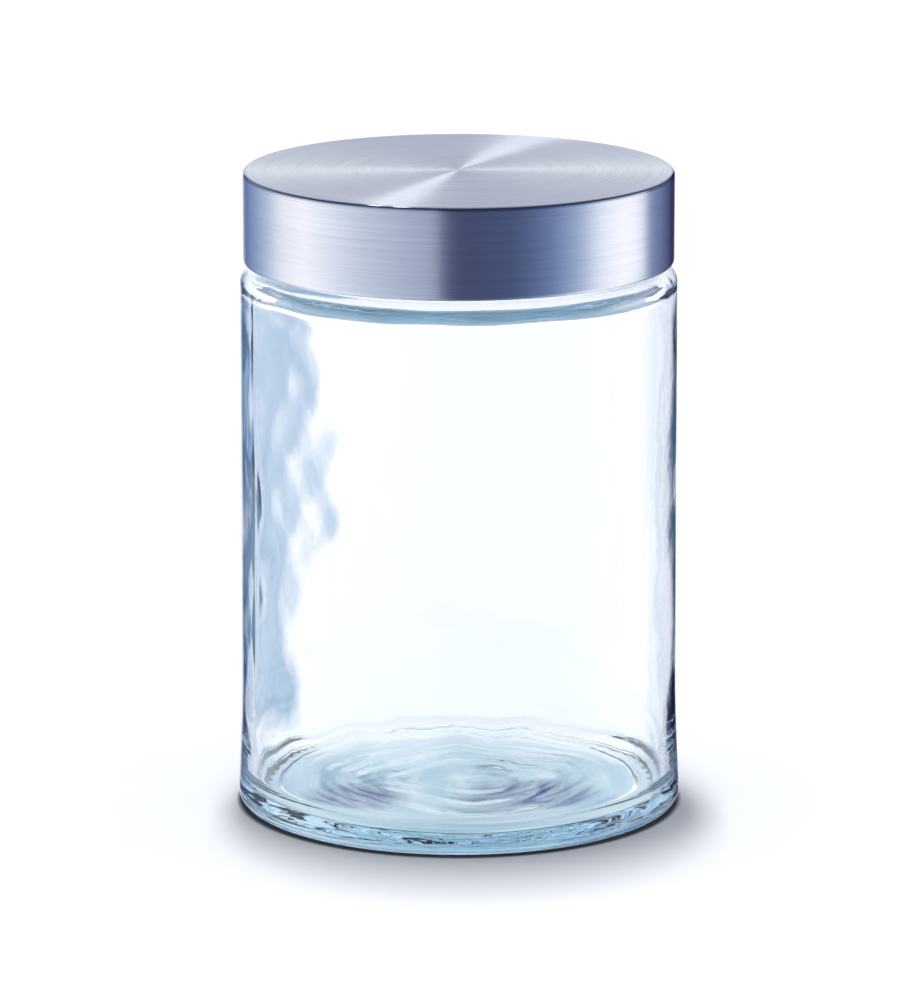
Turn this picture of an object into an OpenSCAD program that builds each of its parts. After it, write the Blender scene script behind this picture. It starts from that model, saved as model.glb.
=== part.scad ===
// Lidded glass storage canister. A one-piece glass jar carries a four-start thread on its neck.
// The screw lid is a drawn steel shell with a moulded insert inside it, and a flat seal ring
// that lies between the insert and the jar's rim.
// Millimetres, +Z up. The origin is the middle of the surface that the jar stands on.

/* [Jar] */
// Outside radius of the jar wall at mid height
body_r = 55; // [54.9:0.1:56]
// How much the wall draws in between the heel's flare and the shoulder
body_draft = 0.3; // [0:0.05:0.5]
// How far the heel stands out past the wall
heel_flare = 1.2; // [0.2:0.1:2]
// Height of the heel's flare
flare_h = 26; // [15:1:40]
// Rounding of the heel where it meets the surface it stands on
heel_round = 3.5; // [1.5:0.5:5]
// Thickness of the glass wall
wall_t = 2.7; // [2.2:0.1:3.5]
// Thickness of the floor at its edge
floor_t = 4.8; // [4.4:0.1:8]
// Rounding between the floor and the wall inside
floor_round = 5.5; // [4:0.5:8]
// How much the floor rises from its edge to its middle
floor_dome = 1; // [0.5:0.25:2]
// Height of the hollow under the base
push_up = 2.2; // [1.6:0.1:2.6]
// Height of the shoulder
shoulder_z = 138; // [132:1:138]
// Outside rounding of the shoulder
shoulder_round = 4; // [3:0.25:4.25]

/* [Neck] */
// Outside radius of the neck
neck_r = 50.2; // [50:0.1:50.4]
// Inside radius of the mouth
mouth_r = 47; // [46.5:0.1:47.4]
// Height of the rim
rim_z = 158.2; // [157:0.1:158.4]
// Rounding of the rim's two edges
rim_round = 1.25; // [0.6:0.05:1.25]
// Radius of the plain bead round the foot of the neck
bead_r = 1.2; // [0.8:0.05:1.2]

/* [Thread] */
// Number of thread starts, which is also the number of ridges and of lugs
starts = 4; // [3:1:4]
// Rise of one full turn of the thread
lead = 20; // [18:1:22]
// Radius of the rounded thread ridges
ridge_r = 1.3; // [0.9:0.05:1.3]
// Length of each ridge round the neck, in degrees
ridge_arc = 58; // [40:2:60]
// Height of the middle of each ridge
ridge_z = 151.5; // [150.5:0.25:152.5]
// Length of each lug round the insert, in degrees
lug_arc = 14; // [8:1:18]
// Where each lug stands under its ridge when the lid is closed, in degrees from the ridge's middle
lug_turn = -22; // [-26:1:-12]

/* [Lid] */
// Overall height of the closed canister
total_h = 162; // [162:0.1:163]
// Outside radius of the lid
lid_r = 53.85; // [53.75:0.05:54]
// Height of the lid's lower edge
lid_bottom_z = 139; // [138.6:0.1:139.2]
// Thickness of the steel sheet
sheet_t = 0.5; // [0.4:0.05:0.55]
// Rounding of the lid's top edge
lid_round = 0.8; // [0.6:0.1:2]
// Thickness of the insert's side wall
insert_wall = 1.35; // [1.3:0.05:1.4]
// Thickness of the insert's top plate
insert_plate = 1.4; // [1.2:0.1:1.5]
// Thickness of the seal ring's retaining rib
rib_t = 1; // [0.8:0.1:1.2]
// Radius of the stiffening ring under the insert's top plate
stiffener_r = 26; // [15:1:36]

/* [Hidden] */

// Fineness of round parts, and of each rounded corner in an outline
$fn = 144;
corner_steps = 8;

// Gaps: between the insert and the shell, and round the seal ring in its groove
shell_gap = 0.1;
seal_gap = 0.35;

glass_tint = [0.80, 0.91, 0.94, 0.4];
steel_grey = [0.72, 0.74, 0.80];
insert_white = [0.93, 0.94, 0.94];
seal_clear = [0.86, 0.89, 0.90];

shoulder_r = body_r - body_draft;
inner_r = body_r - wall_t;

// The hem is the shell's lower edge, rolled in to half a ring that holds the insert up
hem_w = 2;
hem_h = hem_w / 2;
shell_inner_r = lid_r - sheet_t;
shell_under_z = total_h - sheet_t;

insert_r = shell_inner_r - shell_gap;
insert_inner_r = insert_r - insert_wall;
insert_bottom_z = lid_bottom_z + hem_h;
insert_under_z = shell_under_z - insert_plate;

seal_outer_r = insert_inner_r - seal_gap;
seal_inner_r = mouth_r - 1;
rib_outer_r = seal_inner_r - seal_gap;

// Angle of the thread against the level, and the gap in height between two starts
helix_tilt = atan(lead / (2 * PI * neck_r));
thread_pitch = lead / starts;
// The lugs run midway between two ridges
lug_z = ridge_z + lead * lug_turn / 360 - thread_pitch / 2;

function unit(v) = v / norm(v);

// Points of one rounded corner: p is [x, y, rounding], and a and b are the corners on each side
function corner(a, p, b) =
    p.z == 0 ? [[p.x, p.y]] :
    let (
        at = [p.x, p.y],
        u = unit([a.x, a.y] - at),
        v = unit([b.x, b.y] - at),
        half = acos(u * v) / 2,
        centre = at + unit(u + v) * p.z / sin(half),
        start = at + u * p.z / tan(half) - centre,
        sweep = 180 - 2 * half,
        turn = sign(u.x * v.y - u.y * v.x)
    )
    [for (i = [0:corner_steps])
        let (t = -turn * sweep * i / corner_steps)
        centre + [start.x * cos(t) - start.y * sin(t), start.x * sin(t) + start.y * cos(t)]];

// A closed outline with its corners rounded
function rounded(corners) =
    let (n = len(corners))
    [for (i = [0:n - 1]) each corner(corners[(i + n - 1) % n], corners[i], corners[(i + 1) % n])];

// A shallow dish from the axis out to radius r: z_edge at its edge and rise higher at its middle
function dish(r, z_edge, rise, steps = 8) =
    [for (i = [0:steps - 1]) [r * i / steps, z_edge + rise * (1 - pow(i / steps, 2)), 0]];

function backwards(list) = [for (i = [len(list) - 1:-1:0]) list[i]];

// A solid of revolution from an outline of [radius, height, rounding] corners
module turned(corners) {
    rotate_extrude()
        polygon(rounded(corners));
}

// Turns its children to the thread's slope about the radius at angle 0, and lifts them to height z
module on_thread(z) {
    translate([0, 0, z])
        rotate([helix_tilt, 0, 0])
            children();
}

// Part of a ring of round section that spans angle arc, centred on the X axis
module ring_arc(centre_r, section_r, arc) {
    rotate([0, 0, -arc / 2])
        rotate_extrude(angle = arc)
            translate([centre_r, 0])
                circle(section_r);
}

// A thread ridge: a ring tighter than the neck, so that both of its ends run down into the glass
module ridge() {
    sink = ridge_r + 0.4;
    end_x = (neck_r - sink) * cos(ridge_arc / 2);
    end_y = (neck_r - sink) * sin(ridge_arc / 2);
    // Centre and radius of the circle through the ridge's middle and both of its ends
    centre_x = (pow(neck_r, 2) - pow(end_x, 2) - pow(end_y, 2)) / (2 * (neck_r - end_x));
    bend_r = neck_r - centre_x;
    on_thread(ridge_z)
        translate([centre_x, 0, 0])
            ring_arc(bend_r, ridge_r, 2 * atan2(end_y, end_x - centre_x));
}

// A lug on the insert's side wall
module lug() {
    rotate([0, 0, lug_turn])
        on_thread(lug_z)
            ring_arc(insert_inner_r, ridge_r, lug_arc);
}

// One copy of its children for each thread start
module each_start() {
    for (i = [0:starts - 1])
        rotate([0, 0, 360 * i / starts])
            children();
}

// The glass in section, from the axis under the base, up the outside, over the rim and back inside
function jar_section() =
    let (
        ring_inner_r = body_r - 8.5,
        ring_step = 1.2,
        hollow_r = ring_inner_r - 1.5,
        floor_r = inner_r - floor_round - 4,
        neck_fillet = 0.4
    )
    concat(
        dish(hollow_r, ring_step, push_up - ring_step),
        [
            [hollow_r, ring_step, 0],
            [ring_inner_r, 0, 0.8],
            [body_r + heel_flare, 0, heel_round],
            [body_r, flare_h, 400],
            [shoulder_r, shoulder_z, shoulder_round],
            [neck_r, shoulder_z, neck_fillet],
            [neck_r, rim_z, rim_round],
            [mouth_r, rim_z, rim_round],
            [mouth_r, shoulder_z - 1, 4],
            [inner_r, shoulder_z - 4.5, 4],
            [inner_r, floor_t, floor_round],
            [floor_r, floor_t, 0]
        ],
        backwards(dish(floor_r, floor_t, floor_dome))
    );

module glass_jar() {
    bead_z = shoulder_z + 4.5;
    color(glass_tint) {
        turned(jar_section());
        rotate_extrude()
            translate([neck_r, bead_z])
                circle(bead_r);
        each_start()
            ridge();
    }
}

module lid_shell() {
    color(steel_grey)
        turned([
            [0, total_h, 0],
            [lid_r, total_h, lid_round],
            [lid_r, lid_bottom_z, hem_h - 0.05],
            [lid_r - hem_w, lid_bottom_z, hem_h - 0.05],
            [lid_r - hem_w, insert_bottom_z, 0],
            [lid_r - hem_w + sheet_t, insert_bottom_z, 0],
            [lid_r - hem_w + sheet_t, lid_bottom_z + sheet_t, 0.4],
            [shell_inner_r, lid_bottom_z + sheet_t, 0.4],
            [shell_inner_r, shell_under_z, lid_round - sheet_t],
            [0, shell_under_z, 0]
        ]);
}

module lid_insert() {
    stiffener_h = 1.2;
    gate_r = 4;
    color(insert_white) {
        turned([
            [0, shell_under_z, 0],
            [insert_r, shell_under_z, lid_round],
            [insert_r, insert_bottom_z, 0],
            [insert_inner_r, insert_bottom_z, 0.5],
            [insert_inner_r, insert_under_z, 0],
            [rib_outer_r, insert_under_z, 0],
            [rib_outer_r, rim_z + 0.1, 0],
            [rib_outer_r - rib_t, rim_z + 0.1, 0.3],
            [rib_outer_r - rib_t, insert_under_z, 0],
            [stiffener_r + rib_t, insert_under_z, 0],
            [stiffener_r + rib_t, insert_under_z - stiffener_h, 0.3],
            [stiffener_r, insert_under_z - stiffener_h, 0.3],
            [stiffener_r, insert_under_z, 0],
            [gate_r, insert_under_z, 0],
            [gate_r, insert_under_z - stiffener_h / 2, 0.3],
            [0, insert_under_z - stiffener_h / 2, 0]
        ]);
        each_start()
            lug();
    }
}

module seal_ring() {
    color(seal_clear)
        turned([
            [seal_inner_r, rim_z, 0.4],
            [seal_outer_r, rim_z, 0.4],
            [seal_outer_r, insert_under_z, 0.4],
            [seal_inner_r, insert_under_z, 0.4]
        ]);
}

glass_jar();
lid_shell();
lid_insert();
seal_ring();
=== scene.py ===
import math

import bpy
import numpy as np
from mathutils import Matrix, Vector


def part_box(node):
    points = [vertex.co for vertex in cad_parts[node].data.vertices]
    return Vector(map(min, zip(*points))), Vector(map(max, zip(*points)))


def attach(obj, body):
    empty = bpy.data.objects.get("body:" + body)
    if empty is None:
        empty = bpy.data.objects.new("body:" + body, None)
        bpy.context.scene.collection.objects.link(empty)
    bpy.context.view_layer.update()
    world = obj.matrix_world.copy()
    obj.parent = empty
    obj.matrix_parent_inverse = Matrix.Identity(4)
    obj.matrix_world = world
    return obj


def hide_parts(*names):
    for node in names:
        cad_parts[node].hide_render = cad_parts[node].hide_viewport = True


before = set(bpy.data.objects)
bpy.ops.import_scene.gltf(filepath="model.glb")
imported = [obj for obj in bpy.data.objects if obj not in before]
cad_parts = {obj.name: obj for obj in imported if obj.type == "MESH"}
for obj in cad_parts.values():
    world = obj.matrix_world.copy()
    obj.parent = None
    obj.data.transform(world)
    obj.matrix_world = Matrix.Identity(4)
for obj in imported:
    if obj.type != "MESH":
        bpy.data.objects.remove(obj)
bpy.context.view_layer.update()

MM = 0.001
TAU = 2 * math.pi

# Sizes that the frame's boxes give
_, JAR_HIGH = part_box("glass_jar")
SHELL_LOW, SHELL_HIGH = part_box("lid_shell")
INSERT_LOW, INSERT_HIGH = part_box("lid_insert")
SEAL_LOW, SEAL_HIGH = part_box("seal_ring")
HEEL_R = JAR_HIGH.x
RIM_Z = JAR_HIGH.z
LID_R = SHELL_HIGH.x
LID_TOP = SHELL_HIGH.z
LID_BOTTOM = SHELL_LOW.z

# Sizes inside the glass and the lid, as the design has them
WALL_R = 55.0 * MM
HEEL_CORNER_R = WALL_R + 1.2 * MM
SHOULDER_R = 54.7 * MM
INNER_R = 52.3 * MM
FLOOR_Z = 4.8 * MM
FLOOR_DOME = 1.0 * MM
PUSH_UP = 2.2 * MM
FLOOR_ROUND = 5.5 * MM
INNER_FLAT_R = INNER_R - FLOOR_ROUND - 4.0 * MM
FLARE_Z = 26.0 * MM
SHOULDER_Z = 138.0 * MM
NECK_R = 50.2 * MM
MOUTH_R = 47.0 * MM
NECK_BEAD_R = 1.2 * MM
NECK_BEAD_Z = SHOULDER_Z + 4.5 * MM
STARTS = 4
LEAD = 20.0 * MM
RIDGE_R = 1.3 * MM
RIDGE_Z = 151.5 * MM
RIDGE_HALF_ARC = math.radians(29)
LUG_HALF_ARC = math.radians(7)
LUG_TURN = math.radians(-22)
LUG_Z = 147.78 * MM
BEARING_BARS = 64
SEAM_ANGLE = math.radians(20)
SHEET = 0.5 * MM
HEM_W = 2.0 * MM
INSERT_R = INSERT_HIGH.x
INSERT_WALL = 1.35 * MM
PLATE = 1.4 * MM
RIB = 1.0 * MM
STIFFENER_R = 26.0 * MM
STIFFENER_H = 1.2 * MM
GATE_R = 4.0 * MM
SEAL_OUTER_R = SEAL_HIGH.x
SEAL_INNER_R = MOUTH_R - 1.0 * MM
SEAL_GAP = 0.35 * MM

# The eye looks down by 13 degrees at a point close to the jar's axis, from far off
EYE_PITCH = math.radians(13.03)
EYE_AIM = Vector((0.8 * MM, 0, 77.5 * MM))
EYE_DISTANCE = 1.5403
EYE = EYE_AIM + EYE_DISTANCE * Vector((0, -math.cos(EYE_PITCH), math.sin(EYE_PITCH)))


# ---------------------------------------------------------------- camera

def make_camera():
    """A long lens, so the canister is drawn almost without perspective."""
    data = bpy.data.cameras.new("camera")
    data.sensor_width = 36
    data.lens = 219.9
    data.clip_end = 50
    camera = bpy.data.objects.new("camera", data)
    camera.location = EYE
    camera.rotation_euler = (math.radians(90) - EYE_PITCH, 0, 0)
    bpy.context.collection.objects.link(camera)
    bpy.context.scene.camera = camera


# ---------------------------------------------------------------- turned meshes

def rounded(corners, steps=8, longest=None):
    """An open outline of (radius, height) points from [radius, height, rounding] corners.
    Straight stretches are cut into pieces no longer than longest."""
    spots = [np.array(c[:2], float) for c in corners]
    points = [spots[0]]
    for i in range(1, len(corners) - 1):
        r = corners[i][2] if len(corners[i]) > 2 else 0
        if r == 0:
            points.append(spots[i])
            continue
        u = spots[i - 1] - spots[i]
        v = spots[i + 1] - spots[i]
        u, v = u / np.linalg.norm(u), v / np.linalg.norm(v)
        half = math.acos(float(np.clip(u @ v, -1, 1))) / 2
        centre = spots[i] + (u + v) / np.linalg.norm(u + v) * r / math.sin(half)
        start = spots[i] + u * r / math.tan(half) - centre
        end = spots[i] + v * r / math.tan(half) - centre
        turn = math.atan2(start[0] * end[1] - start[1] * end[0], start @ end)
        for k in range(steps + 1):
            c, s = math.cos(turn * k / steps), math.sin(turn * k / steps)
            points.append(centre + (start[0] * c - start[1] * s, start[0] * s + start[1] * c))
    points.append(spots[-1])
    if longest is None:
        return np.array(points)
    fine = [points[0]]
    for a, b in zip(points, points[1:]):
        pieces = max(1, math.ceil(np.linalg.norm(b - a) / longest - 1e-6))
        fine += [a + (b - a) * (k + 1) / pieces for k in range(pieces)]
    return np.array(fine)


def refine(points, low, high, longest):
    """Cuts the stretches of an outline that lie between two heights into shorter ones."""
    fine = [points[0]]
    for a, b in zip(points, points[1:]):
        pieces = 1
        if min(a[1], b[1]) >= low - 1e-9 and max(a[1], b[1]) <= high + 1e-9:
            pieces = max(1, math.ceil(np.linalg.norm(b - a) / longest - 1e-6))
        fine += [a + (b - a) * (k + 1) / pieces for k in range(pieces)]
    return np.array(fine)


def turned(name, outline, segments, relief=None):
    """A closed solid of revolution. An outline that starts and ends on the axis gets a point at each end;
    any other outline is closed into a ring. relief(radius, height, angle) gives new radii and heights."""
    on_axis = outline[0][0] < 1e-9 and outline[-1][0] < 1e-9
    rows = outline[1:-1] if on_axis else outline
    angle = np.arange(segments) * TAU / segments
    r = np.repeat(rows[:, :1], segments, 1)
    z = np.repeat(rows[:, 1:], segments, 1)
    if relief:
        r, z = relief(r, z, np.broadcast_to(angle, r.shape))
    points = np.stack([r * np.cos(angle), r * np.sin(angle), z], -1).reshape(-1, 3)
    n = len(rows)
    bands = n - 1 if on_axis else n
    i = np.arange(bands)[:, None] * segments
    j = np.arange(segments)[None, :]
    k = (j + 1) % segments
    up = (i + segments) % (n * segments)
    quads = np.stack([i + j, i + k, up + k, up + j], -1).reshape(-1, 4).tolist()
    if on_axis:
        first, last = len(points), len(points) + 1
        points = np.vstack([points, [0, 0, outline[0][1]], [0, 0, outline[-1][1]]])
        top = (n - 1) * segments
        quads += [[first, b, a] for a, b in zip(range(segments), np.roll(range(segments), -1))]
        quads += [[last, top + a, top + b] for a, b in zip(range(segments), np.roll(range(segments), -1))]
    mesh = bpy.data.meshes.new(name)
    mesh.from_pydata(points.tolist(), [], [[int(v) for v in q] for q in quads])
    mesh.validate()
    mesh.update()
    mesh.shade_smooth()
    piece = bpy.data.objects.new(name, mesh)
    bpy.context.collection.objects.link(piece)
    return piece


def waves(a, b, seed, count, a_range, b_range):
    """Smooth noise of about unit size over angle a and length b: a sum of sines with whole turns in a."""
    draw = np.random.default_rng(seed)
    total = np.zeros(np.broadcast(a, b).shape)
    for _ in range(count):
        turns = draw.integers(a_range[0], a_range[1] + 1)
        pitch = draw.uniform(*b_range)
        phase = draw.uniform(0, TAU, 2)
        total = total + np.sin(turns * a + phase[0]) * np.sin(TAU * b / pitch + phase[1])
    return total * 2 / math.sqrt(count)


def smooth_step(x, low, high):
    t = np.clip((x - low) / (high - low), 0, 1)
    return t * t * (3 - 2 * t)


def bead_height(offset, radius):
    """Height of a half-round bead at a distance from its middle line."""
    return np.sqrt(np.clip(radius**2 - offset**2, 0, None))


def start_angle(angle):
    """Angle from the middle of the nearest thread start."""
    step = TAU / STARTS
    return (angle + step / 2) % step - step / 2


# ---------------------------------------------------------------- glass jar

def jar_outline():
    """The glass in section, from the axis under the base, up the outside and over the rim to the axis."""
    ring_r = WALL_R - 8.5 * MM
    hollow_r = ring_r - 1.5 * MM
    step_z = 1.2 * MM
    floor_r = INNER_FLAT_R
    under = [[hollow_r * t, step_z + (PUSH_UP - step_z) * (1 - t * t)] for t in np.linspace(0, 1, 12)]
    floor = [[floor_r * t, FLOOR_Z + FLOOR_DOME * (1 - t * t)] for t in np.linspace(1, 0, 12)]
    corners = under + [
        [ring_r, 0, 0.8 * MM],
        [HEEL_CORNER_R, 0, 3.5 * MM],
        [WALL_R, FLARE_Z, 0.4],
        [SHOULDER_R, SHOULDER_Z, 4 * MM],
        [NECK_R, SHOULDER_Z, 0.4 * MM],
        [NECK_R, RIM_Z, 1.25 * MM],
        [MOUTH_R, RIM_Z, 1.25 * MM],
        [MOUTH_R, SHOULDER_Z - 1 * MM, 4 * MM],
        [INNER_R, SHOULDER_Z - 4.5 * MM, 4 * MM],
        [INNER_R, FLOOR_Z, FLOOR_ROUND],
    ] + floor
    outline = rounded(corners, steps=10, longest=1.6 * MM)
    outline = refine(outline, SHOULDER_Z, RIM_Z, 0.3 * MM)
    outline = refine(outline, SHOULDER_Z - 8 * MM, SHOULDER_Z, 0.5 * MM)
    return refine(outline, 0, 16 * MM, 0.7 * MM)


def neck_relief(r, z, angle):
    """How far the thread ridges and the plain bead stand out of the neck."""
    near = start_angle(angle)
    across = z - (RIDGE_Z + LEAD * near / TAU)
    fade = 1.7 * MM * smooth_step(np.abs(near), 0, RIDGE_HALF_ARC) ** 1.5
    ridge = np.where(np.abs(near) < RIDGE_HALF_ARC, bead_height(across, RIDGE_R) - fade, 0)
    bead = bead_height(z - NECK_BEAD_Z, NECK_BEAD_R)
    outside = (r > NECK_R - 0.3 * MM) & (z > SHOULDER_Z + 0.2 * MM) & (z < RIM_Z - 1.2 * MM)
    return np.where(outside, np.maximum(np.clip(ridge, 0, None), bead), 0)


def inner_wall_waves(r, z, angle):
    """The plunger leaves the inner wall wavy, most of all in long upright folds."""
    inner_wall = (np.abs(r - INNER_R) < 0.05 * MM) & (z > FLOOR_Z)
    fold = waves(angle, z, 5, 9, (3, 9), (60 * MM, 150 * MM))
    small = waves(angle, z, 11, 14, (10, 24), (18 * MM, 60 * MM))
    calm_ends = smooth_step(z, 14 * MM, 26 * MM) * (1 - smooth_step(z, 118 * MM, 130 * MM))
    rougher_side = 0.6 - 0.4 * np.cos(angle)
    return (0.16 * fold + 0.05 * small) * MM * rougher_side * np.where(inner_wall, calm_ends, 0)


def inner_shoulder_waves(r, z, angle):
    """The inside of the shoulder has shorter waves than the wall."""
    inner_side = (r > MOUTH_R - 0.1 * MM) & (r < INNER_R + 0.1 * MM)
    inner_shoulder = inner_side & (z > SHOULDER_Z - 10 * MM) & (z < SHOULDER_Z)
    short = waves(angle, z, 57, 10, (5, 17), (7 * MM, 20 * MM))
    band_low = smooth_step(z, SHOULDER_Z - 10 * MM, SHOULDER_Z - 7 * MM)
    band_high = 1 - smooth_step(z, SHOULDER_Z - 3 * MM, SHOULDER_Z)
    return np.where(inner_shoulder, 0.07 * MM * short * (band_low * band_high), 0)


def outer_wall_marks(r, z, angle):
    """The outside is nearly true. Two mould halves meet in faint upright seams."""
    outer_wall = (r > NECK_R + 2 * MM) & (z > 6 * MM) & (z < SHOULDER_Z - 2 * MM)
    shallow = -0.02 * MM * (1 + waves(angle, z, 44, 8, (3, 12), (40 * MM, 120 * MM)) / 2)
    seam_gap = np.abs((angle - SEAM_ANGLE + TAU / 4) % (TAU / 2) - TAU / 4) * WALL_R
    seam = 0.05 * MM * np.exp(-(seam_gap / (0.7 * MM)) ** 2)
    return np.where(outer_wall, shallow + np.where(z > FLARE_Z, seam, 0), 0)


def floor_ripples(r, z, angle):
    """Ripples round the floor, bent out of true circles, and a broad swell."""
    on_floor = (z > FLOOR_Z - 0.1 * MM) & (z < FLOOR_Z + 8 * MM) & (r < INNER_R - 0.1 * MM)
    x, y = r * np.cos(angle), r * np.sin(angle)
    bend = 2.5 * MM * waves(angle, r, 21, 6, (1, 4), (60 * MM, 120 * MM))
    off_centre = np.hypot(x - 3 * MM, y + 5 * MM) + bend
    ripple = 0.07 * MM * np.sin(TAU * off_centre / (8.5 * MM)) * smooth_step(r, 4 * MM, 16 * MM)
    broad = waves(angle, r, 33, 5, (1, 3), (50 * MM, 110 * MM))
    swell = 0.22 * MM * broad * smooth_step(r, 2 * MM, 14 * MM)
    edge_calm = 1 - smooth_step(r, INNER_R - 5 * MM, INNER_R - 0.3 * MM)
    return np.where(on_floor, (ripple + swell) * edge_calm, 0)


def bearing_bars(r, z, angle):
    """Short bars pressed into the ring that the jar stands on."""
    ring = (z < 1.0 * MM) & (r > WALL_R - 8 * MM) & (r < WALL_R - 1 * MM)
    bars = 0.05 * MM * (0.5 - 0.5 * np.cos(BEARING_BARS * angle)) ** 2
    across_ring = np.sin(np.clip((r - (WALL_R - 8 * MM)) / (7 * MM), 0, 1) * math.pi)
    return np.where(ring, bars * across_ring, 0)


def jar_relief(r, z, angle):
    """The thread on the neck, the uneven inside of the pressed glass, and the marks of the mould."""
    sideways = (neck_relief, inner_wall_waves, inner_shoulder_waves, outer_wall_marks)
    upwards = (floor_ripples, bearing_bars)
    new_r, new_z = r, z
    for relief in sideways:
        new_r = new_r + relief(r, z, angle)
    for relief in upwards:
        new_z = new_z + relief(r, z, angle)
    return new_r, new_z


def glass_jar():
    jar = turned("jar_body", jar_outline(), 448, jar_relief)
    jar.data.materials.append(clear_glass())
    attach(jar, "jar")
    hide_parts("glass_jar")


# ---------------------------------------------------------------- lid

def lid_shell():
    hem_bottom = LID_BOTTOM + HEM_W / 2
    outline = rounded([
        [0, LID_TOP],
        [LID_R, LID_TOP, 0.8 * MM],
        [LID_R, LID_BOTTOM, 0.99 * MM],
        [LID_R - HEM_W, LID_BOTTOM, 0.99 * MM],
        [LID_R - HEM_W, hem_bottom],
        [LID_R - HEM_W + SHEET, hem_bottom],
        [LID_R - HEM_W + SHEET, LID_BOTTOM + SHEET, 0.45 * MM],
        [LID_R - SHEET, LID_BOTTOM + SHEET, 0.45 * MM],
        [LID_R - SHEET, LID_TOP - SHEET, 0.3 * MM],
        [0, LID_TOP - SHEET],
    ], steps=8, longest=3 * MM)[::-1]
    shell = turned("lid_cup", outline, 384)
    shell.data.materials.append(brushed_steel())
    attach(shell, "lid")
    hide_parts("lid_shell")


def insert_outline():
    """The insert in section: top plate, side wall, seal groove, stiffening ring and gate mark."""
    under = LID_TOP - SHEET - PLATE
    inner_r = INSERT_R - INSERT_WALL
    rib_r = SEAL_INNER_R - SEAL_GAP
    ring_z = under - STIFFENER_H
    corners = [
        [0, LID_TOP - SHEET],
        [INSERT_R, LID_TOP - SHEET, 0.8 * MM],
        [INSERT_R, INSERT_LOW.z, 0.25 * MM],
        [inner_r, INSERT_LOW.z, 0.5 * MM],
        [inner_r, under, 0.2 * MM],
        [rib_r, under, 0.1 * MM],
        [rib_r, RIM_Z + 0.1 * MM, 0.2 * MM],
        [rib_r - RIB, RIM_Z + 0.1 * MM, 0.3 * MM],
        [rib_r - RIB, under, 0.15 * MM],
        [STIFFENER_R + RIB, under, 0.15 * MM],
        [STIFFENER_R + RIB, ring_z, 0.3 * MM],
        [STIFFENER_R, ring_z, 0.3 * MM],
        [STIFFENER_R, under, 0.15 * MM],
        [GATE_R, under, 0.1 * MM],
        [GATE_R, under - STIFFENER_H / 2, 0.3 * MM],
        [0, under - STIFFENER_H / 2],
    ]
    outline = rounded(corners, steps=5, longest=3 * MM)
    return refine(outline, INSERT_LOW.z, LUG_Z + 4 * MM, 0.3 * MM)[::-1]


def insert_relief(r, z, angle):
    """The four lugs on the inside of the wall."""
    near = start_angle(angle - LUG_TURN)
    across = z - (LUG_Z + LEAD * near / TAU)
    ends = 1 - smooth_step(np.abs(near), LUG_HALF_ARC * 0.85, LUG_HALF_ARC)
    on_wall = (np.abs(r - (INSERT_R - INSERT_WALL)) < 0.6 * MM) & (z > INSERT_LOW.z + 0.6 * MM)
    lug = np.where(on_wall, bead_height(across, RIDGE_R) * ends, 0)
    return r - lug, z


def lid_insert():
    insert = turned("lid_liner", insert_outline(), 384, insert_relief)
    insert.data.materials.append(white_plastic())
    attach(insert, "lid")
    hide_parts("lid_insert")


def seal_relief(r, z, angle):
    """Two fine grooves round the face that presses on the glass."""
    middle = (SEAL_INNER_R + SEAL_OUTER_R) / 2
    face = z < SEAL_LOW.z + 0.1 * MM
    grooves = sum(np.exp(-((r - middle - side * 0.9 * MM) / (0.28 * MM)) ** 2) for side in (-1, 1))
    return r, z + np.where(face, 0.18 * MM * grooves, 0)


def seal_ring():
    low, high = SEAL_LOW.z, SEAL_HIGH.z
    middle = (SEAL_INNER_R + SEAL_OUTER_R) / 2
    corners = [
        [middle, low],
        [SEAL_OUTER_R, low, 0.4 * MM],
        [SEAL_OUTER_R, high, 0.4 * MM],
        [SEAL_INNER_R, high, 0.4 * MM],
        [SEAL_INNER_R, low, 0.4 * MM],
        [middle, low],
    ]
    outline = rounded(corners, steps=6, longest=0.2 * MM)[:-1]
    seal = turned("seal_band", outline, 384, seal_relief)
    seal.data.materials.append(clear_seal())
    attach(seal, "seal")
    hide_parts("seal_ring")


# ---------------------------------------------------------------- materials

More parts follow.
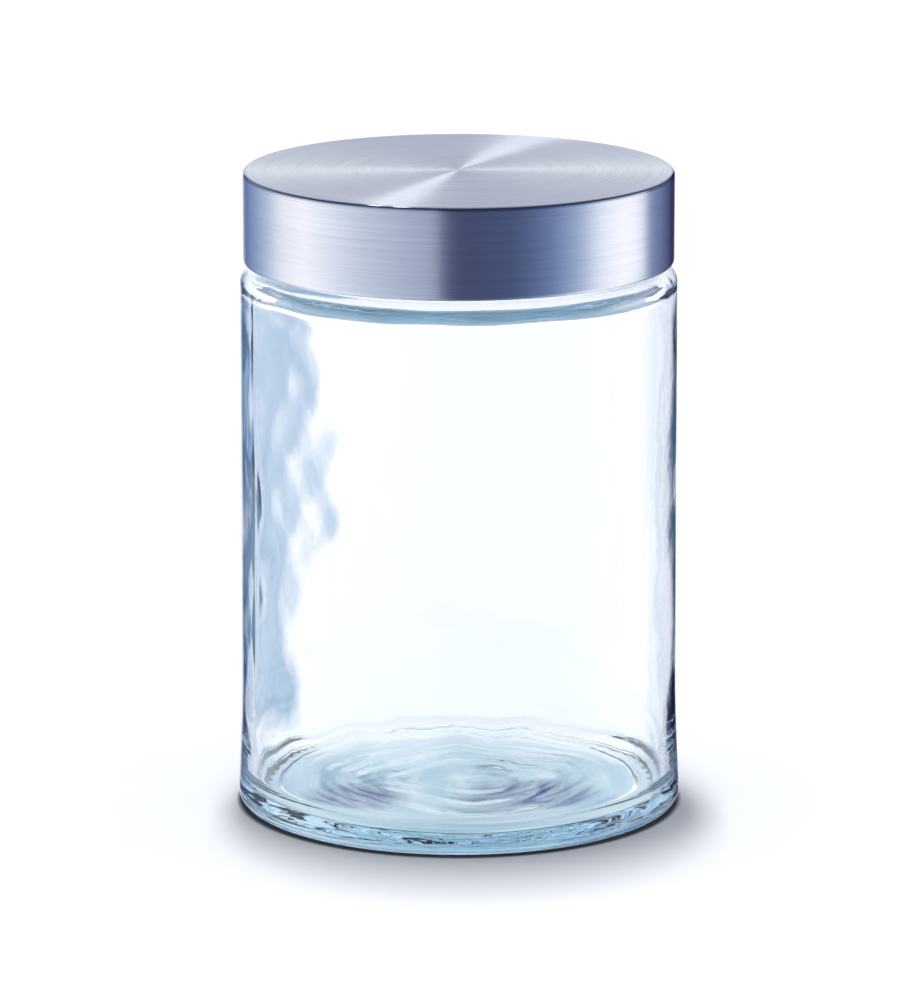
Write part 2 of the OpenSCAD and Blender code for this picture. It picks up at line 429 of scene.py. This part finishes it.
class Nodes:
    """A short way to write down the nodes of a material or of the world."""

    def __init__(self, tree):
        self.tree = tree
        self.shader = tree.nodes.get("Principled BSDF")

    def add(self, kind, settings=None, **inputs):
        """Adds a node. settings are the node's own properties. inputs are numbers, or outputs to link, and
        they go by their sockets' names, or by i and a number."""
        node = self.tree.nodes.new(kind)
        for key, value in (settings or {}).items():
            setattr(node, key, value)
        for key, value in inputs.items():
            self.put(node.inputs[int(key[1:]) if key[1:].isdigit() else key], value)
        return node

    def put(self, socket, value):
        if isinstance(value, bpy.types.NodeSocket):
            self.tree.links.new(value, socket)
        else:
            socket.default_value = value

    def math(self, operation, a, b=0.0):
        return self.add("ShaderNodeMath", {"operation": operation}, i0=a, i1=b).outputs[0]

    def vector(self, x, y, z):
        return self.add("ShaderNodeCombineXYZ", None, X=x, Y=y, Z=z).outputs[0]

    def noise(self, vector, scale, detail=2.0, roughness=0.5):
        node = self.add("ShaderNodeTexNoise", None, Vector=vector, Scale=scale, Detail=detail,
                        Roughness=roughness)
        return node.outputs["Fac"]

    def ring_noise(self, cos_a, sin_a, turn, across, per_metre, detail):
        """Noise drawn out into rings round the axis: quick to change with across, slow with the angle."""
        x = self.math("MULTIPLY", cos_a, turn)
        y = self.math("MULTIPLY", sin_a, turn)
        z = self.math("MULTIPLY", across, per_metre)
        return self.noise(self.vector(x, y, z), 1.0, detail)

    def spread(self, value, low, high, to_low, to_high):
        """Maps a value's range to another, and holds it at the ends."""
        node = self.add("ShaderNodeMapRange", {"clamp": True}, Value=value)
        numbers = {"From Min": low, "From Max": high, "To Min": to_low, "To Max": to_high}
        for name, number in numbers.items():
            node.inputs[name].default_value = number
        return node.outputs["Result"]

    def blend(self, factor, first, second):
        """A colour between two, by a factor of 0 to 1."""
        return self.add("ShaderNodeMix", {"data_type": "RGBA"}, i0=factor, i6=first, i7=second).outputs[2]

    def bump(self, height, strength, distance):
        node = self.add("ShaderNodeBump", None, Strength=strength, Distance=distance, Height=height)
        return node.outputs["Normal"]

    def place(self):
        """The point that is drawn, in metres from the object's origin."""
        return self.add("ShaderNodeTexCoord").outputs["Object"]

    def axes(self):
        return self.add("ShaderNodeSeparateXYZ", None, Vector=self.place()).outputs

    def round_coordinates(self):
        """Cosine and sine of the angle round the axis, the distance from it, and the height."""
        x, y, z = self.axes()
        square = self.math("ADD", self.math("MULTIPLY", x, x), self.math("MULTIPLY", y, y))
        radius = self.math("SQRT", square)
        safe = self.math("MAXIMUM", radius, 0.1 * MM)
        return self.math("DIVIDE", x, safe), self.math("DIVIDE", y, safe), radius, z


def new_material(name):
    material = bpy.data.materials.new(name)
    material.use_nodes = True
    return material, Nodes(material.node_tree)


def clear_glass():
    """Blue-green soda-lime glass. Its surface is fire-polished, with a faint orange peel and a few wiping
    marks."""
    material, nodes = new_material("clear_glass")
    shader = nodes.shader
    shader.inputs["Base Color"].default_value = (1, 1, 1, 1)
    shader.inputs["IOR"].default_value = 1.52
    shader.inputs["Transmission Weight"].default_value = 1.0
    place = nodes.place()
    peel = nodes.noise(place, 140.0, 2.0)
    smear = nodes.noise(place, 45.0, 3.0, 0.6)
    nodes.put(shader.inputs["Roughness"], nodes.spread(smear, 0.55, 0.8, 0.0, 0.03))
    nodes.put(shader.inputs["Normal"], nodes.bump(peel, 0.35, 0.1 * MM))
    absorb = nodes.add("ShaderNodeVolumeAbsorption")
    absorb.inputs["Color"].default_value = (0.46, 0.71, 0.83, 1)
    absorb.inputs["Density"].default_value = 16
    nodes.tree.links.new(absorb.outputs["Volume"], nodes.tree.nodes["Material Output"].inputs["Volume"])
    return material


def brushed_steel():
    """Stainless steel brushed in circles: fine lines run round the axis on the top and the side."""
    material, nodes = new_material("brushed_steel")
    shader = nodes.shader
    shader.inputs["Metallic"].default_value = 1.0
    shader.inputs["Anisotropic"].default_value = 0.98
    shader.inputs["Anisotropic Rotation"].default_value = 0.25
    cos_a, sin_a, radius, height = nodes.round_coordinates()

    # Distance across the brush lines: outwards over the top, then down the side
    across = nodes.math("SUBTRACT", radius, height)
    fine = nodes.ring_noise(cos_a, sin_a, 1.6, across, 5200.0, 3.0)
    bands = nodes.ring_noise(cos_a, sin_a, 0.5, across, 1600.0, 2.0)
    short_lines = nodes.ring_noise(cos_a, sin_a, 9.0, across, 6500.0, 1.0)
    scratches = nodes.spread(short_lines, 0.62, 0.78, 0.0, 1.0)

    # The lines stand out less on the side than on the top
    on_top = nodes.spread(height, LID_TOP - 0.8 * MM, LID_TOP - 0.3 * MM, 0.55, 1.0)
    contrast = nodes.math("MULTIPLY", nodes.spread(fine, 0.3, 0.7, -0.5, 0.5), on_top)
    tone = nodes.blend(nodes.math("ADD", contrast, 0.5), (0.56, 0.575, 0.61, 1), (0.74, 0.75, 0.78, 1))
    tone = nodes.blend(nodes.math("MULTIPLY", scratches, 0.16), tone, (0.88, 0.89, 0.92, 1))

    # The drawn edge between top and side is painted darker, a painted shade, and it is also smoother than
    # both
    shaded_edge = nodes.math("MULTIPLY", nodes.spread(radius, LID_R - 1.0 * MM, LID_R - 0.75 * MM, 0.0, 1.0),
                      nodes.spread(height, LID_TOP - 1.1 * MM, LID_TOP - 0.8 * MM, 0.0, 1.0))
    nodes.put(shader.inputs["Base Color"], nodes.blend(shaded_edge, tone, (0.30, 0.32, 0.38, 1)))
    smoother = nodes.spread(shaded_edge, 0.0, 1.0, 1.0, 0.45)
    rough = nodes.math("MULTIPLY", nodes.spread(bands, 0.3, 0.7, 0.28, 0.33), smoother)
    nodes.put(shader.inputs["Roughness"], rough)

    relief = nodes.math("ADD", fine, nodes.math("MULTIPLY", scratches, 0.5))
    nodes.put(shader.inputs["Normal"], nodes.bump(relief, 0.12, 0.02 * MM))
    tangent = nodes.add("ShaderNodeTangent", {"direction_type": "RADIAL", "axis": "Z"})
    nodes.put(shader.inputs["Tangent"], tangent.outputs["Tangent"])
    return material


def white_plastic():
    """Moulded polypropylene: a satin, slightly cloudy, bluish white with turning marks from the mould."""
    material, nodes = new_material("white_plastic")
    shader = nodes.shader
    place = nodes.place()
    _, _, radius, _ = nodes.round_coordinates()
    cloud = nodes.noise(place, 60.0, 4.0, 0.6)
    nodes.put(shader.inputs["Base Color"], nodes.blend(cloud, (0.68, 0.80, 0.88, 1), (0.76, 0.87, 0.93, 1)))
    grain = nodes.noise(place, 2600.0, 2.0)
    marks = nodes.noise(nodes.vector(0.0, 0.0, nodes.math("MULTIPLY", radius, 2400.0)), 1.0, 2.0)
    nodes.put(shader.inputs["Roughness"], nodes.spread(cloud, 0.3, 0.7, 0.38, 0.50))
    relief = nodes.math("ADD", nodes.math("MULTIPLY", grain, 0.5), nodes.math("MULTIPLY", marks, 0.5))
    nodes.put(shader.inputs["Normal"], nodes.bump(relief, 0.25, 0.03 * MM))
    shader.inputs["Subsurface Weight"].default_value = 0.08
    shader.inputs["Subsurface Radius"].default_value = (1.5 * MM, 1.5 * MM, 1.5 * MM)
    return material


def clear_seal():
    """Translucent silicone with a dusty, finely ground surface."""
    material, nodes = new_material("clear_seal")
    shader = nodes.shader
    place = nodes.place()
    haze = nodes.noise(place, 90.0, 4.0, 0.6)
    grain = nodes.noise(place, 3200.0, 2.0)
    nodes.put(shader.inputs["Base Color"], nodes.blend(haze, (0.74, 0.78, 0.79, 1), (0.88, 0.91, 0.92, 1)))
    nodes.put(shader.inputs["Roughness"], nodes.spread(haze, 0.3, 0.7, 0.45, 0.60))
    nodes.put(shader.inputs["Normal"], nodes.bump(grain, 0.3, 0.03 * MM))
    shader.inputs["IOR"].default_value = 1.41
    shader.inputs["Transmission Weight"].default_value = 0.35
    return material


# ---------------------------------------------------------------- studio

def stage_mesh(name, points, faces, material):
    """A piece of the stage. Rays that meet it find its glow, and it isn't sampled as a lamp."""
    material.cycles.emission_sampling = "NONE"
    mesh = bpy.data.meshes.new(name)
    mesh.from_pydata(points, [], faces)
    mesh.materials.append(material)
    piece = bpy.data.objects.new(name, mesh)
    bpy.context.collection.objects.link(piece)
    return piece


def seen_only_by(piece, camera=False, diffuse=False, glossy=False, transmission=False, shadow=False):
    """Hides a piece of the stage from every kind of ray but those named."""
    piece.visible_camera = camera
    piece.visible_diffuse = diffuse
    piece.visible_glossy = glossy
    piece.visible_transmission = transmission
    piece.visible_shadow = shadow
    piece.visible_volume_scatter = False


# What the room and the floor give to things deep behind glass, which no lamp reaches
DEEP_LIGHT = (1.2, 2.0, 2.6, 1)


def deep_in_glass(nodes):
    """1 for light that reaches something behind two walls of glass after it has passed more glass."""
    path = nodes.add("ShaderNodeLightPath").outputs
    deep = nodes.math("GREATER_THAN", path["Transmission Depth"], 4.5)
    lit = nodes.math("GREATER_THAN", path["Diffuse Depth"], 0.5)
    return nodes.math("MULTIPLY", nodes.math("MULTIPLY", deep, lit), path["Is Transmission Ray"])


def glow_where(nodes, solid, colour):
    """Makes a material that glows where solid is 1 and isn't there at all where it is 0."""
    glow = nodes.add("ShaderNodeEmission", None, Color=colour, Strength=1.0)
    clear = nodes.add("ShaderNodeBsdfTransparent")
    mix = nodes.add("ShaderNodeMixShader", None, i0=solid, i1=clear.outputs[0], i2=glow.outputs[0])
    nodes.tree.links.new(mix.outputs[0], nodes.tree.nodes["Material Output"].inputs["Surface"])


def after_mirroring(nodes):
    """1 for light that something has mirrored on its way to the eye."""
    return nodes.math("GREATER_THAN", nodes.add("ShaderNodeLightPath").outputs["Glossy Depth"], 0.5)


# Dark patches that the jar's inner floor shows, as painted reflections in the floor's glow under the jar
# and as dark spots on the mirrored card: middle and half size, across and along the view (mm)
PATCHES = ((-26, -22, 13, 12), (18, -20, 17, 13))
# The base bends the eye's line down, so the patches lie farther back on the floor than they seem to (mm)
PATCH_SHIFT = 10


def oval(nodes, x, y, centre_x, centre_y, half_x, half_y):
    """1 on the rim of an ellipse, less inside it and more outside."""
    along = nodes.math("DIVIDE", nodes.math("SUBTRACT", x, centre_x * MM), half_x * MM)
    across = nodes.math("DIVIDE", nodes.math("SUBTRACT", y, centre_y * MM), half_y * MM)
    return nodes.math("ADD", nodes.math("MULTIPLY", along, along), nodes.math("MULTIPLY", across, across))


def patches(nodes, x, y, places):
    """1 in the middle of each of the oval places, and softly down to 0 just past their rims."""
    dark = 0.0
    for place in places:
        dark = nodes.math("MAXIMUM", dark, nodes.spread(oval(nodes, x, y, *place), 0.3, 1.4, 1.0, 0.0))
    return dark


# The overhead light, how bright the floor under it is, and the floor's own whiteness
OVERHEAD = Vector((-0.018, 0.115, 1.33))
OVERHEAD_LEVEL = 0.62
FLOOR_WHITE = 0.91


def painted_reflection_glow(nodes, x, y, cos_a, sin_a, radius):
    """Painted light for the floor under the jar, a painted reflection: soft blue rings, two dark patches
    and a pale rim at the back.
    """
    rings = nodes.spread(nodes.ring_noise(cos_a, sin_a, 0.9, radius, 110.0, 2.0), 0.35, 0.65, 0.0, 1.0)
    light = nodes.blend(rings, (0.26, 0.47, 0.62, 1), (0.62, 0.76, 0.84, 1))

    places = [(px, py + PATCH_SHIFT, half_x, half_y) for px, py, half_x, half_y in PATCHES]
    streaks = nodes.spread(nodes.ring_noise(cos_a, sin_a, 0.9, radius, 380.0, 2.0), 0.35, 0.55, 0.5, 1.0)
    dark = nodes.math("MULTIPLY", patches(nodes, x, y, places), streaks)
    light = nodes.blend(dark, light, (0.0, 0.04, 0.20, 1))

    # The rim is painted nearly white at the back, a painted highlight, where the corner between floor and
    # wall shows it
    rim = nodes.math("MULTIPLY", nodes.spread(radius, 38 * MM, 47 * MM, 0.0, 1.0),
                     nodes.spread(y, 12 * MM, 32 * MM, 0.0, 1.0))
    return nodes.blend(rim, light, (1.0, 1.02, 1.05, 1))


def fill_light(nodes, x, y):
    """How much light the floor has to give itself to make up for the overhead light's fall-off."""
    lamp_x, lamp_y, lamp_z = (v / MM for v in OVERHEAD)
    distance = oval(nodes, x, y, lamp_x, lamp_y, lamp_z, lamp_z)
    fall = nodes.math("DIVIDE", 1.0, nodes.math("ADD", distance, 1.0))
    lost = nodes.math("SUBTRACT", 1.0, nodes.math("MULTIPLY", fall, fall))
    return nodes.math("MULTIPLY", lost, OVERHEAD_LEVEL)


def floor():
    """A pale table, lit a little from below where the overhead light falls off, so that it is evenly white.
    Under the jar the floor glows with painted light: a painted reflection of blue rings, two dark patches
    and a pale rim, which shows through the rippled floor of the jar. Only light that passes through the
    glass sees this glow. The floor also gives the blue deep light to things deep behind glass."""
    material, nodes = new_material("floor_white")
    shader = nodes.shader
    x, y, _ = nodes.axes()
    cos_a, sin_a, radius, _ = nodes.round_coordinates()
    through = nodes.add("ShaderNodeLightPath").outputs["Is Transmission Ray"]
    # The round patch of painted glow under the jar, which only light through the glass meets
    painted_glow_mask = nodes.math("MULTIPLY", through, nodes.spread(radius, 58 * MM, 64 * MM, 1.0, 0.0))

    # Painted shadow: a thin ring under the jar's rounded heel, where hardly any light gets in, has a dark
    # colour and no fill light, except for light that passes through the glass
    outside_painted_heel_shadow = nodes.spread(radius, HEEL_R - 0.6 * MM, HEEL_R + 0.8 * MM, 0.08, 1.0)
    outside_painted_shadow = nodes.math("MAXIMUM", through, outside_painted_heel_shadow)
    grain = nodes.noise(nodes.place(), 30.0, 3.0)
    white = nodes.blend(grain, (FLOOR_WHITE - 0.01, FLOOR_WHITE - 0.01, FLOOR_WHITE, 1),
                        (FLOOR_WHITE + 0.01, FLOOR_WHITE + 0.01, FLOOR_WHITE + 0.015, 1))
    # The dark colour of the painted shadow under the heel
    white = nodes.blend(outside_painted_shadow, (0.02, 0.03, 0.05, 1), white)
    # Under the painted glow the floor's own colour is black, so that only the glow shows
    nodes.put(shader.inputs["Base Color"], nodes.blend(painted_glow_mask, white, (0, 0, 0, 1)))
    shader.inputs["Roughness"].default_value = 0.9
    shader.inputs["Specular IOR Level"].default_value = 0.1

    # Emission: the painted glow under the jar, and the blue deep light for things deep behind glass
    deep = deep_in_glass(nodes)
    light = nodes.blend(painted_glow_mask, (1, 1, 1, 1), painted_reflection_glow(nodes, x, y, cos_a, sin_a, radius))
    nodes.put(shader.inputs["Emission Color"], nodes.blend(deep, light, DEEP_LIGHT))
    fill = nodes.math("MULTIPLY", fill_light(nodes, x, y), outside_painted_shadow)
    strength = nodes.math("MAXIMUM", nodes.math("MAXIMUM", fill, painted_glow_mask), deep)
    nodes.put(shader.inputs["Emission Strength"], strength)

    half, drop = 6, -0.02 * MM
    corners = [(-half, -half, drop), (half, -half, drop), (half, half, drop), (-half, half, drop)]
    piece = stage_mesh("floor", corners, [(0, 1, 2, 3)], material)
    seen_only_by(piece, camera=True, diffuse=True, transmission=True, shadow=True)


def places_in_mirror(back):
    """Where the dark patches have to be on an upright card at the distance back behind the axis, for the
    eye to see them mirrored in the jar's inner floor: middle and half size of each, across and up (mm)."""
    # The domed floor turns a mirrored ray by this much for each metre off the axis, so the patches spread
    turn = 4 * FLOOR_DOME / INNER_FLAT_R**2
    places = []
    for px, py, half_x, half_y in PATCHES:
        spot = Vector((px * MM, py * MM, FLOOR_Z))
        ray = spot - EYE
        reach = back - spot.y
        slope = -ray.z / ray.y - turn * spot.y
        card_x = spot.x + (ray.x / ray.y + turn * spot.x) * reach
        card_z = spot.z + slope * reach
        card_half_x = half_x * (1 + turn * reach)
        card_half_z = half_y * (slope + turn * reach)
        places.append((card_x / MM, card_z / MM, card_half_x, card_half_z))
    return places


def mirrored_card():
    """A pale blue card behind the jar, with the dark patches again. The jar's inner floor mirrors it, and
    light that isn't mirrored passes through it."""
    back = 0.4
    low, high, half = 40 * MM, 190 * MM, 130 * MM
    material, nodes = new_material("mirrored_card")
    x, _, z = nodes.axes()
    dark = patches(nodes, x, z, places_in_mirror(back))
    glow_where(nodes, after_mirroring(nodes), nodes.blend(dark, (0.80, 0.93, 1.0, 1), (0.0, 0.06, 0.24, 1)))
    points = [(-half, back, low), (half, back, low), (half, back, high), (-half, back, high)]
    seen_only_by(stage_mesh("mirrored_card", points, [(0, 1, 2, 3)], material), transmission=True)


# What the steel and the glass reflect, going round from straight behind the camera (0 degrees) towards +X:
# the middle of each panel of the studio, in degrees, and its light
PANELS = [
    (-180, (0.92, 0.98, 1.04)),
    (-166, (0.88, 0.93, 1.02)),
    (-161, (0.08, 0.11, 0.26)),
    (-150, (0.22, 0.32, 0.60)),
    (-136, (0.40, 0.53, 0.78)),
    (-122, (0.72, 0.84, 1.06)),
    (-110, (1.30, 1.36, 1.45)),
    (-90, (1.62, 1.60, 1.66)),
    (-76, (1.30, 1.36, 1.48)),
    (-50, (0.86, 0.97, 1.14)),
    (-30, (0.70, 0.78, 0.98)),
    (-13, (0.58, 0.64, 0.84)),
    (-8, (0.16, 0.18, 0.32)),
    (0, (0.09, 0.11, 0.22)),
    (32, (0.10, 0.14, 0.28)),
    (50, (0.19, 0.27, 0.54)),
    (68, (0.48, 0.63, 0.95)),
    (82, (1.30, 1.38, 1.52)),
    (100, (1.68, 1.68, 1.74)),
    (114, (1.50, 1.52, 1.62)),
    (121, (0.36, 0.46, 0.72)),
    (140, (0.16, 0.20, 0.40)),
    (150, (0.10, 0.11, 0.25)),
    (156, (0.02, 0.02, 0.08)),
    (167, (0.04, 0.04, 0.10)),
    (172, (0.88, 0.93, 1.02)),
    (180, (0.92, 0.98, 1.04)),
]
PANEL_STRENGTH = 1.8
STUDIO_R = 4.0


def reflected_studio():
    """A shell of panels far round the canister. Only reflections see it."""
    rings, sides = 24, 64
    points = []
    for i in range(rings + 1):
        tilt = math.pi * (i / rings - 0.5)
        level_r = STUDIO_R * math.cos(tilt)
        for k in range(sides):
            turn = TAU * k / sides
            points.append((level_r * math.cos(turn), level_r * math.sin(turn), STUDIO_R * math.sin(tilt)))
    faces = []
    for row in range(0, rings * sides, sides):
        for k in range(sides):
            following = (k + 1) % sides
            faces.append((row + k, row + following, row + sides + following, row + sides + k))
    piece = stage_mesh("reflected_studio", points, faces, panel_light())
    seen_only_by(piece, glossy=True)


def panel_light():
    """The light of the panels, which gives way to a dark ceiling higher up, paler behind the canister."""
    material, nodes = new_material("panel_light")
    x, y, z = nodes.axes()
    turn = nodes.math("ARCTAN2", x, nodes.math("MULTIPLY", y, -1.0))
    ramp = nodes.add("ShaderNodeValToRGB", None, Fac=nodes.spread(turn, -math.pi, math.pi, 0.0, 1.0))
    stops = ramp.color_ramp.elements
    while len(stops) < len(PANELS):
        stops.new(0.5)
    for stop, (degrees, colour) in zip(stops, PANELS):
        stop.position = (degrees + 180) / 360
        stop.color = (*[c / PANEL_STRENGTH for c in colour], 1)
    rise = nodes.math("DIVIDE", z, STUDIO_R)
    behind = nodes.math("MULTIPLY", nodes.spread(y, -1.0, 2.0, 0.0, 1.0),
                        nodes.spread(nodes.math("ABSOLUTE", x), 1.2, 2.2, 1.0, 0.0))
    ceiling = nodes.blend(behind, (0.03, 0.04, 0.10, 1), (0.42, 0.44, 0.52, 1))
    colour = nodes.blend(nodes.spread(rise, 0.22, 0.50, 0.0, 1.0), ramp.outputs["Color"], ceiling)
    glow = nodes.add("ShaderNodeEmission", None, Color=colour, Strength=PANEL_STRENGTH)
    nodes.tree.links.new(glow.outputs["Emission"], nodes.tree.nodes["Material Output"].inputs["Surface"])
    return material


def soft_world():
    """A white room. What the room lights is darker than the room itself, because the overhead light gives
    the rest. That light doesn't shine through glass, so what lies deep behind glass takes more from the
    room, and bluer. The floor close to the jar takes less, as it would next to real glass."""
    world = bpy.data.worlds.new("soft_world")
    bpy.context.scene.world = world
    world.use_nodes = True
    nodes = Nodes(world.node_tree)
    path = nodes.add("ShaderNodeLightPath").outputs
    seen = nodes.math("LESS_THAN", path["Diffuse Depth"], 0.5)
    light = nodes.blend(path["Is Transmission Ray"], (0.49, 0.51, 0.575, 1), (0.29, 0.305, 0.35, 1))
    light = nodes.blend(deep_in_glass(nodes), light, DEEP_LIGHT)
    light = nodes.blend(seen, light, (1.22, 1.225, 1.25, 1))
    background = world.node_tree.nodes["Background"]
    nodes.put(background.inputs["Color"], light)
    background.inputs["Strength"].default_value = 1.0
    world.cycles_visibility.glossy = False
    world.cycles.sampling_method = "NONE"


def overhead_light():
    """A long soft light overhead, a little behind the canister and to its left. Its shadow is narrow at the
    sides and fades out forwards."""
    data = bpy.data.lights.new("overhead", "AREA")
    data.shape = "RECTANGLE"
    data.size, data.size_y = 0.08, 0.31
    data.energy = OVERHEAD_LEVEL / FLOOR_WHITE * math.pi**2 * OVERHEAD.z**2
    light = bpy.data.objects.new("overhead", data)
    light.location = OVERHEAD
    light.visible_glossy = False
    light.visible_transmission = False
    bpy.context.collection.objects.link(light)


def over_ray(angle, reach):
    """Where a light has to hang for the brushed top to show it as a ray on a line through the lid's middle,
    turned by angle from the line towards the eye. A short reach hangs it far behind the canister, and a
    reach of 1 nearly overhead."""
    height = 0.94
    view = (EYE - Vector((0, 0, LID_TOP))).normalized()
    x = -view.x - reach * math.sin(angle)
    y = -view.y - reach * math.cos(angle)
    up = math.sqrt(1 - x * x - y * y)
    return Vector((x / up * height, y / up * height, LID_TOP + height))


def strip_lights():
    """Two long narrow lights above, for the two bright rays that round brushing draws on the lid's top."""
    for name, degrees, watts in (("strip_left", 22.5, 0.75), ("strip_right", 15.5, 0.6)):
        far, near = over_ray(math.radians(degrees), 0.45), over_ray(math.radians(degrees), 1.0)
        centre = (far + near) / 2
        along = (far - near).normalized()
        back = (centre - Vector((0, 0, LID_TOP))).normalized()
        across = along.cross(back).normalized()
        data = bpy.data.lights.new(name, "AREA")
        data.shape = "RECTANGLE"
        data.size, data.size_y = 0.05, (far - near).length
        data.energy = watts
        light = bpy.data.objects.new(name, data)
        light.matrix_world = Matrix((across, along, across.cross(along))).transposed().to_4x4()
        light.location = centre
        light.visible_diffuse = False
        light.visible_transmission = False
        bpy.context.collection.objects.link(light)


# Blades that draw the jar's edges: side, distance behind the axis, nearest and farthest distance sideways
# and height (mm), light, and whether only light that was mirrored inside the glass sees them
BLADES = [
    (-1, 30, 59, 79, 132, (0.04, 0.11, 0.19), True),
    (-1, 52, 43, 100, 124, (0.24, 0.42, 0.62), False),
    (-1, 140, 47, 130, 108, (0.30, 0.47, 0.69), False),
    (-1, 260, 56, 190, 86, (0.38, 0.55, 0.77), False),
    (1, 24, 58.5, 71, 132, (0.05, 0.13, 0.20), True),
    (1, 80, 68, 95, 116, (0.66, 0.78, 0.88), False),
]


def blade_cover(nodes, side, near, far, height):
    """1 in the body of a blade and less towards its edges, so that none of them shows as a line."""
    x, _, z = nodes.axes()
    out = nodes.math("MULTIPLY", x, float(side))
    width = far - near
    inner = nodes.spread(out, near * MM, (near + 0.15 * width) * MM, 0.0, 1.0)
    outer = nodes.spread(out, (near + 0.4 * width) * MM, far * MM, 1.0, 0.0)
    lower = nodes.spread(z, 0.0, 9 * MM, 0.25, 1.0)
    upper = nodes.spread(z, 0.85 * height * MM, height * MM, 1.0, 0.0)
    sideways = nodes.math("MULTIPLY", inner, outer)
    return nodes.math("MULTIPLY", sideways, nodes.math("MULTIPLY", lower, upper))


def side_flags():
    """Upright blades beside and behind the jar, facing the front. The glass bends light from them into its
    two edges, which draws the edges dark on white, and the wavy wall spreads the left ones into a pale blue
    zone. Nothing but light that passes through the glass sees them."""
    for i, (side, back, near, far, height, colour, mirrored_only) in enumerate(BLADES):
        material, nodes = new_material(f"flag_{i}")
        cover = blade_cover(nodes, side, near, far, height)
        if mirrored_only:
            cover = nodes.math("MULTIPLY", cover, after_mirroring(nodes))
        glow_where(nodes, cover, (*colour, 1))
        x0, x1, y, top = side * near * MM, side * far * MM, back * MM, height * MM
        points = [(x0, y, 0), (x1, y, 0), (x1, y, top), (x0, y, top)]
        seen_only_by(stage_mesh(f"flag_{i}", points, [(0, 1, 2, 3)], material), transmission=True)


def light_paths():
    """The thick base passes light on by many reflections inside it, so more of them are followed."""
    cycles = bpy.context.scene.cycles
    cycles.max_bounces = 20
    cycles.glossy_bounces = 12
    cycles.transmission_bounces = 20


def colour_handling():
    view = bpy.context.scene.view_settings
    view.view_transform = "Standard"
    view.look = "None"


make_camera()
glass_jar()
lid_shell()
lid_insert()
seal_ring()
floor()
mirrored_card()
reflected_studio()
soft_world()
overhead_light()
strip_lights()
side_flags()
light_paths()
colour_handling()
